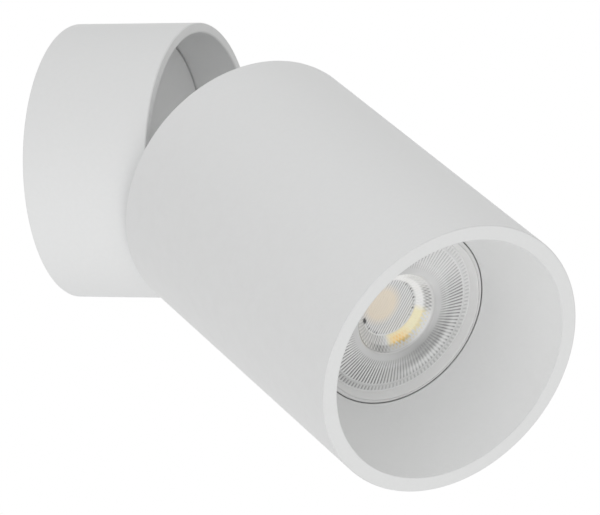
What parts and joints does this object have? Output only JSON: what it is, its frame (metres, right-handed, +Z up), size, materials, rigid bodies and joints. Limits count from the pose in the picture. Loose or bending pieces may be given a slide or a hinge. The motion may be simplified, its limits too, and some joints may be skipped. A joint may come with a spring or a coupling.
{
  "type": "ceiling spotlight",
  "caption": "Surface mounted ceiling spotlight: round base, hollow knuckle joint and a tilting tube with a conical baffle and a twist-lock lamp.",
  "frame": {"origin": "centre of the ceiling plate's upper face, where it meets the ceiling", "axes": "+Z up into the ceiling along the base's axis; the head tilts towards -Y about an axis along X"},
  "size_m": [0.075, 0.1449, 0.1556],
  "materials": {
    "white_coat": "matt white powder coat on aluminium",
    "zinc_steel": "zinc plated",
    "brass": "turned brass",
    "terminal_steel": "bright zinc",
    "nylon": "natural nylon",
    "fibre": "pressed fibre",
    "rubber": "moulded rubber",
    "lead_sheath": "silicone sleeve",
    "ceramic": "glazed steatite",
    "lamp_white": "satin white moulding",
    "lens_clear": "clear polycarbonate with moulded ribs",
    "board": "white solder mask",
    "phosphor": "phosphor in clear resin",
    "pin_plate": "nickel plated brass"
  },
  "bodies": {
    "base": {"base_shell": "white_coat", "ceiling_plate": "zinc_steel", "plate_pillars": "zinc_steel", "cable_grommet": "rubber", "terminal_block": "nylon", "terminal_sleeves": "brass", "terminal_screws": "terminal_steel", "block_screw": "zinc_steel", "earth_screw": "zinc_steel", "carrier_disc": "white_coat", "base_screws": "zinc_steel", "pan_stop_stud": "zinc_steel", "supply_leads": "lead_sheath"},
    "swivel": {"pan_knuckle": "white_coat", "pan_thrust_washer": "nylon", "pan_glide_washer": "nylon", "pan_stop_washer": "zinc_steel", "pan_wave_washer": "zinc_steel", "pan_locknut": "zinc_steel", "tilt_friction_ring": "fibre", "tilt_screw": "zinc_steel", "tilt_nut": "zinc_steel", "tilt_spring_washer": "zinc_steel"},
    "head": {"tilt_knuckle": "white_coat", "rear_cap": "white_coat", "head_shell": "white_coat", "rear_circlip": "zinc_steel", "knuckle_locknut": "zinc_steel", "lead_bush": "nylon", "holder_bridge": "zinc_steel", "bridge_screws": "zinc_steel", "lampholder": "ceramic", "holder_screws": "zinc_steel", "socket_contacts": "brass", "holder_leads": "lead_sheath", "baffle": "white_coat", "baffle_snap_ring": "zinc_steel"},
    "lamp": {"lamp_housing": "lamp_white", "lamp_lens": "lens_clear", "lamp_led_board": "board", "lamp_led": "phosphor", "lamp_cap": "lamp_white", "lamp_driver": "board", "lamp_pins": "pin_plate"}
  },
  "joints": [
    {"name": "pan", "type": "hinge", "parent": "base", "child": "swivel", "pos_m": [0, 0, -0.0204], "axis": [0, 0, 1], "range_deg": [-172, 172]},
    {"name": "tilt", "type": "hinge", "parent": "swivel", "child": "head", "pos_m": [0, 0, -0.0399], "axis": [-1, 0, 0], "range_deg": [-41, 1]},
    {"name": "lamp_twist", "type": "hinge", "parent": "head", "child": "lamp", "pos_m": [0, 0, -0.0399], "axis": [0, -0.6561, -0.7547], "range_deg": [0, 40]}
  ]
}
